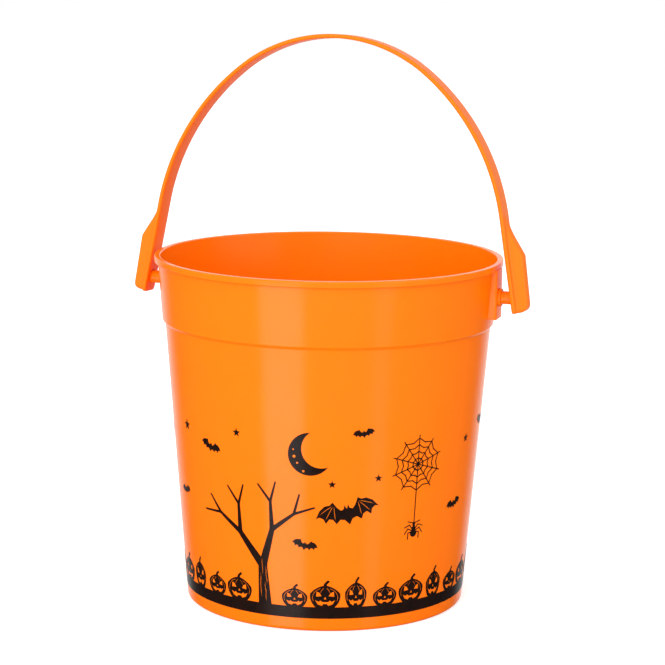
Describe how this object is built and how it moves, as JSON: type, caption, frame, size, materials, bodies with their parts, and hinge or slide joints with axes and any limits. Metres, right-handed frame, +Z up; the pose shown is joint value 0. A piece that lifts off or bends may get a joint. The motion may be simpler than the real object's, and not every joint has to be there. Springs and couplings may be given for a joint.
{
  "type": "candy pail",
  "caption": "Tapered round treat pail with a stepped collar, a rolled rim band and a swing handle that snaps onto side pins, with a black Halloween print round its wall",
  "frame": {"origin": "Centre of the foot ring, on the plane that the pail stands on", "axes": "+Z up along the pail's axis, +X along the hinge line through both pins, +Y towards the back, where the raised handle leans"},
  "size_m": [0.2148, 0.18, 0.2934],
  "materials": {
    "pail_plastic": "smooth glossy moulded orange",
    "handle_plastic": "smooth glossy moulded orange",
    "print_ink": "black transfer film, as glossy as the wall"
  },
  "bodies": {
    "pail": {"pail": "pail_plastic", "ground_print": "print_ink", "pumpkin_prints": "print_ink", "tree_print": "print_ink", "bat_prints": "print_ink", "web_print": "print_ink", "spider_print": "print_ink", "moon_print": "print_ink", "star_prints": "print_ink"},
    "handle": {"handle": "handle_plastic"}
  },
  "joints": [
    {"name": "handle_swing", "type": "hinge", "parent": "pail", "child": "handle", "pos_m": [0, 0, 0.1632], "axis": [1, 0, 0], "range_deg": [-135, 142.5]}
  ]
}
